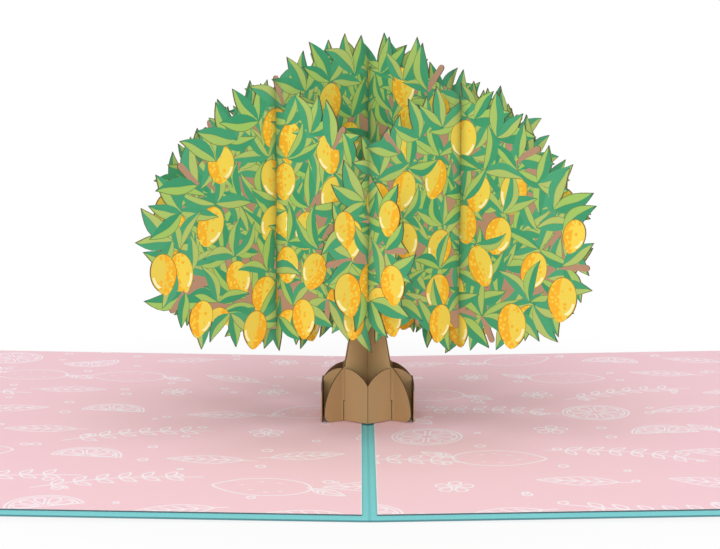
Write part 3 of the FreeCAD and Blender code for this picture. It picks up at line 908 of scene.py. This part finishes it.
# %% Make the six sheets
SIDE_X, SIDE_Y = PITCH * math.cos(ANGLE), PITCH * math.sin(ANGLE)
SHEETS = [
    ("tree_sheet_a", "tree", 1, 0, 0, 11),
    ("tree_sheet_b", "tree", -1, 0, 0, 12),
    ("crown_front_right", "side", 1, SIDE_X, -SIDE_Y, 13),
    ("crown_front_left", "side", -1, -SIDE_X, -SIDE_Y, 14),
    ("crown_back_left", "side", 1, -SIDE_X, SIDE_Y, 15),
    ("crown_back_right", "side", -1, SIDE_X, SIDE_Y, 16),
]
sheet_finishes = [motif_leaf, motif_lemon, branch_brown, trunk_card, dark_cut_edge]
for node, kind, family, middle_x, middle_y, seed in SHEETS:
    mesh = flat_mesh(sheet_shapes(kind, family, seed), sheet_finishes)
    place = Matrix.Translation(Vector((middle_x, middle_y + TREE_OFFSET, 0)) * MM)
    bmesh.ops.transform(mesh, matrix=place @ Matrix.Rotation(family * ANGLE, 4, "Z"), verts=mesh.verts)
    add_piece(f"{node}_print", mesh, sheet_finishes, node, PAPER_THICKNESS, 0)

# %% [markdown]
# ## The printed liners
# The liners carry a loose pattern in white line: leaves, fruit, citrus wheels, sprigs, blossoms
# and little rings, scattered with even gaps. Each motif is a handful of pen strokes. A stroke is
# a chain of short boxes, so the same flat mesh as before can lay it into the paper.

# %% Pen strokes and motifs
PEN = 0.5
OVERRUN = 0.4


def stroke(points, finish):
    """Short boxes along a line of points, each running a little past its ends."""
    shapes = []
    for (u0, z0), (u1, z1) in zip(points, points[1:]):
        length = math.hypot(u1 - u0, z1 - z0)
        du, dz = (u1 - u0) / length * PEN / 2, (z1 - z0) / length * PEN / 2
        past_u, past_z = du * OVERRUN, dz * OVERRUN
        shapes.append(Shape([(u0 - past_u + dz, z0 - past_z - du), (u1 + past_u + dz, z1 + past_z - du),
                             (u1 + past_u - dz, z1 + past_z + du), (u0 - past_u - dz, z0 - past_z + du)],
                            finish))
    return shapes


def circle(u, z, radius, first=0.0, last=2 * math.pi, steps=20):
    return [(u + radius * math.cos(first + (last - first) * i / steps),
             z + radius * math.sin(first + (last - first) * i / steps)) for i in range(steps + 1)]


def leaf_lines(length=18.0, width=7.0, veins=4, u=0.0, z=0.0, turn=0.0):
    """A leaf with a midrib and paired veins, its middle at the origin."""
    def at(s, t):
        along, aside = (s - 0.5) * length, t * width
        return (u + along * math.cos(turn) - aside * math.sin(turn),
                z + along * math.sin(turn) + aside * math.cos(turn))

    def half(s):
        return 0.5 * math.sin(math.pi * s ** 0.85)

    lines = [[at(i / 10, side * half(i / 10)) for i in range(11)] for side in (-1, 1)]
    if veins:
        lines.append([at(-0.16, 0.04), at(0.2, 0), at(0.9, 0)])
    for i in range(veins):
        s = 0.18 + 0.16 * i
        lines += [[at(s, 0), at(s + 0.13, side * half(s + 0.13) * 0.72)] for side in (-1, 1)]
    return lines


# %% [markdown]
# The round motifs come from a few shapes given as shares of their radius: the wedge of a citrus
# wheel, the petal of a blossom, and the places of a fruit's pores.

# %% Round motifs and sprigs
WEDGE = ((0.16, 0), (0.66, -1), (0.77, -0.6), (0.79, 0), (0.77, 0.6), (0.66, 1), (0.16, 0))
PETAL = ((0.22, 0), (0.55, -0.5), (0.88, -0.36), (1, 0), (0.88, 0.36), (0.55, 0.5), (0.22, 0))
PORES = ((-4, 3), (-1, 4.2), (2.5, 2.8), (5, -1), (1, -4), (-3, -3.4))


def wheel_lines(radius=8.6, wedges=8, sweep=2 * math.pi):
    """A slice of citrus: rind, pith and rounded wedges."""
    lines = [circle(0, 0, radius, 0, sweep, 30), circle(0, 0, radius * 0.87, 0, sweep, 26)]
    if sweep < 6:
        lines.append([(-radius, 0), (radius, 0)])
    for i in range(wedges):
        middle = sweep * (i + 0.5) / wedges
        spread = sweep / wedges * 0.36
        lines.append([(radius * share * math.cos(middle + spread * turn),
                       radius * share * math.sin(middle + spread * turn)) for share, turn in WEDGE])
    return lines


def fruit_lines(length=20.0, width=14.0):
    """A lemon lying down, with a leaf at its stalk and a few pores."""
    outline = []
    for i in range(29):
        turn = 2 * math.pi * i / 28
        from_tip = min(turn, 2 * math.pi - turn)
        out = length / 2 * math.cos(turn) + 1.8 * math.exp(-(from_tip / 0.35) ** 2)
        outline.append((out, width / 2 * math.sin(turn)))
    lines = [outline]
    lines += leaf_lines(9, 4, 2, -length / 2 - 4, 2.5, 2.6)
    lines += [[(u, z), (u + 0.9, z + 0.1)] for u, z in PORES]
    return lines


def sprig_lines(length=38.0, pairs=6):
    """A curved stem with small paired leaves."""
    def at(s):
        return (s - 0.5) * length, 3.2 * math.sin(math.pi * s * 1.1) - 1.6

    lines = [[at(i / 12) for i in range(13)]]
    for i in range(pairs):
        u, z = at(0.12 + 0.8 * i / pairs)
        for side in (-1, 1):
            turn = side * 0.85
            lines += leaf_lines(4.6, 2.0, 0, u + 2.8 * math.cos(turn), z + 2.8 * math.sin(turn), turn)
    return lines


def blossom_lines(radius=4.4):
    lines = [circle(0, 0, 0.8, steps=8)]
    for i in range(5):
        middle = 2 * math.pi * i / 5
        lines.append([(radius * share * math.cos(middle + turn),
                       radius * share * math.sin(middle + turn)) for share, turn in PETAL])
    return lines


# %% [markdown]
# The motifs are dealt out like shuffled cards over a grid of places, each moved and turned a
# little, so that none repeats beside itself and the gaps stay even.

# %% Pattern of a liner
COLUMN_WIDTH = 28.0
ROW_LENGTH = 23.0
MOTIFS = [leaf_lines, wheel_lines, leaf_lines, fruit_lines, sprig_lines, leaf_lines, blossom_lines,
          lambda: wheel_lines(8.2, 5, math.pi), sprig_lines, leaf_lines, fruit_lines, blossom_lines]


def line_print(width, length, seed):
    """The pattern of a liner whose corner is at the origin."""
    draw = random.Random(seed)
    shapes = []
    kinds = []
    for row in range(int(length / ROW_LENGTH) + 2):
        for column in range(int(width / COLUMN_WIDTH) + 2):
            if not kinds:
                kinds = MOTIFS[:]
                draw.shuffle(kinds)
            lines = kinds.pop()()
            u = (column + 0.5 * (row % 2) + draw.uniform(-0.12, 0.12)) * COLUMN_WIDTH
            z = (row + draw.uniform(-0.14, 0.14)) * ROW_LENGTH
            lines = place_lines(lines, u, z, draw.choice((0, math.pi)) + draw.uniform(-0.5, 0.5))
            for _ in range(2):
                ring_u, ring_z = u + draw.uniform(12, 16), z + draw.uniform(-11, 11)
                lines.append(circle(ring_u, ring_z, draw.uniform(0.6, 1.4), steps=9))
            for line in lines:
                shapes += stroke(line, liner_ink)
    return shapes


def place_lines(lines, u, z, turn):
    cos, sin = math.cos(turn), math.sin(turn)
    return [[(u + a * cos - b * sin, z + a * sin + b * cos) for a, b in line] for line in lines]


# %% [markdown]
# A liner is glued flat on its wing, a little in from the cover's edges. On the face a pale band
# runs along its edge, the paper's core with a painted highlight, its rim is grey painted shade, and
# slits let the feet of the roots and the planter's tabs through.

# %% Make the two liners
WING = 127
HALF_LENGTH = 89
MARGIN, BACK_MARGIN = 3.2, 1.2
LINER_WIDTH = WING - CREASE_HALF - MARGIN
LINER_FRONT, LINER_BACK = -HALF_LENGTH + MARGIN, HALF_LENGTH - BACK_MARGIN
SLIT_HALF_LENGTH, SLIT_HALF_WIDTH = 1.75, 0.325
TAB_DISTANCE, TAB_FOOT = 11.728, 3.997
ROOT_FOOT = 10.1
PALE_BAND_WIDTH = 0.25
liner_finishes = [liner_paper, liner_ink, liner_pale_band, liner_rim_shade]


def slit(x, y, turn):
    """A slit for a foot, in the liner's own plane."""
    cos, sin = math.cos(turn), math.sin(turn)
    half_length, half_width = SLIT_HALF_LENGTH, SLIT_HALF_WIDTH
    corners = [(-half_length, -half_width), (half_length, -half_width),
               (half_length, half_width), (-half_length, half_width)]
    return Shape([(x + a * cos - b * sin, y + a * sin + b * cos) for a, b in corners], None, CUT)


def to_wing(x):
    """Distance along the wing from its bend, for a distance x from the fold."""
    return (x - WING_START) / math.cos(WING_RISE)


for side, node in ((-1, "liner_left"), (1, "liner_right")):
    near = to_wing(CREASE_HALF)
    low, high = sorted((side * near, side * (near + LINER_WIDTH)))
    paper = [Shape(box(low, high, LINER_FRONT, LINER_BACK), liner_pale_band, PAPER),
             Shape(box(low + PALE_BAND_WIDTH, high - PALE_BAND_WIDTH, LINER_FRONT + PALE_BAND_WIDTH, LINER_BACK - PALE_BAND_WIDTH), liner_paper)]
    pattern = line_print(LINER_WIDTH, LINER_BACK - LINER_FRONT, 60 + side)
    for shape in pattern:
        shape.outline = [(u + low, z + LINER_FRONT) for u, z in shape.outline]
    slits = []
    for end in (-1, 1):
        slits.append(slit(side * to_wing(ROOT_FOOT * math.cos(ANGLE)),
                          TREE_OFFSET + end * ROOT_FOOT * math.sin(ANGLE), side * end * ANGLE))
        slits.append(slit(side * to_wing(TAB_DISTANCE), TREE_OFFSET + end * TAB_FOOT, math.pi / 2))
    mesh = flat_mesh(paper + pattern + slits, liner_finishes, False)
    lay_down = Matrix.Rotation(math.radians(-90), 4, "X")
    tilt = Matrix.Rotation(-side * WING_RISE, 4, "Y")
    edge = Matrix.Translation(Vector((side * WING_START, 0, COVER_THICKNESS)) * MM)
    bmesh.ops.transform(mesh, matrix=edge @ tilt @ lay_down, verts=mesh.verts)
    add_piece(f"{node}_print", mesh, liner_finishes, node, LINER_THICKNESS, 1)
